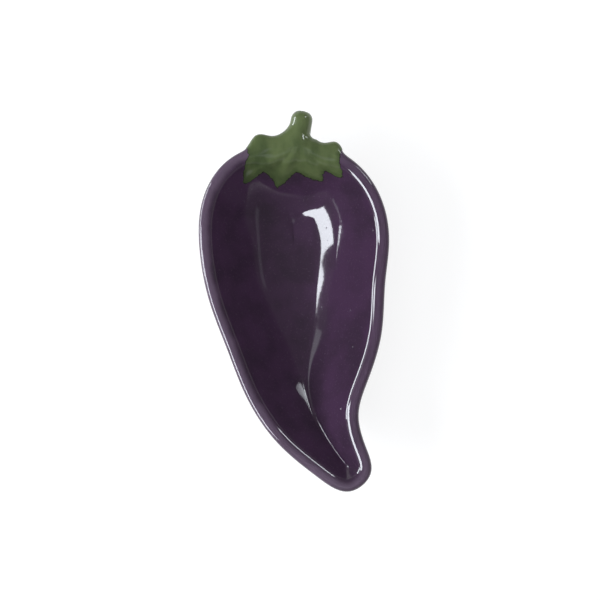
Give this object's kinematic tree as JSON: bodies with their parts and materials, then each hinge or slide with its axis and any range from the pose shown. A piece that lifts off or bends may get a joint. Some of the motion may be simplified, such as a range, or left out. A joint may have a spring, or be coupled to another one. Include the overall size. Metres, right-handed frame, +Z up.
{
  "type": "eggplant-shaped dish",
  "caption": "Long shallow ceramic serving dish shaped as an eggplant, with a rolled rim, rounded well, green calyx and stem, and an oval foot ring.",
  "frame": {"origin": "on the surface the dish stands on, under the middle of its bounding box", "axes": "+Y towards the stem, along the dish's length; +Z up, out of the well"},
  "size_m": [0.1006, 0.2014, 0.038],
  "materials": {
    "glaze": "deep-purple gloss glaze on fired earthenware, green on the calyx and stem"
  },
  "bodies": {
    "root": {"dish": "glaze"}
  },
  "joints": []
}
